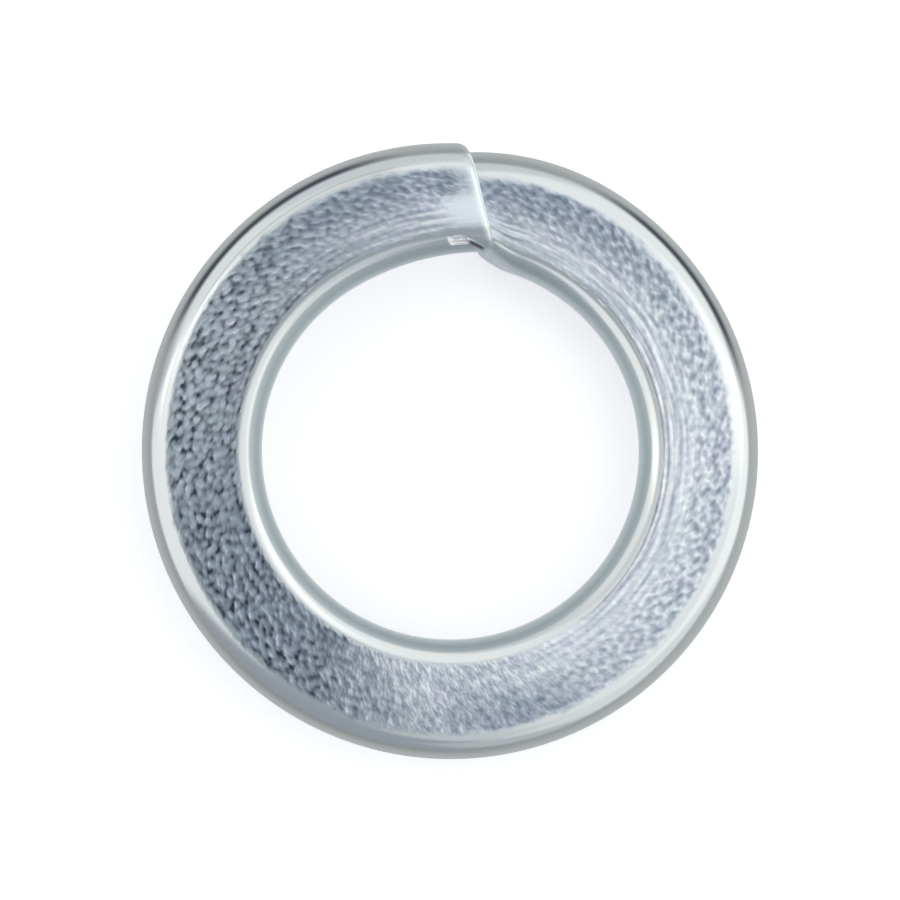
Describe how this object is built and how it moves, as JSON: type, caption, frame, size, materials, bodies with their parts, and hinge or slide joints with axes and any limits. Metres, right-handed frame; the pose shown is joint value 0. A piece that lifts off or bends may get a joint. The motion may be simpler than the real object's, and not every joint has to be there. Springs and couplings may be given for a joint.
{
  "type": "spring lock washer",
  "caption": "Split spring lock washer: one turn of rounded flat steel wire, coiled so that its cut ends bite under a nut, zinc plated.",
  "frame": {"origin": "on the axis of the bore, at the level of the under side of the low end", "axes": "+Z along the bore, from the low end to the raised end; the split is near +Y"},
  "size_m": [0.0203, 0.0202, 0.005],
  "materials": {
    "zinc_plate": "bright blue-white zinc plate over rolled and drawn spring steel"
  },
  "bodies": {
    "root": {"lock_washer": "zinc_plate"}
  },
  "joints": []
}
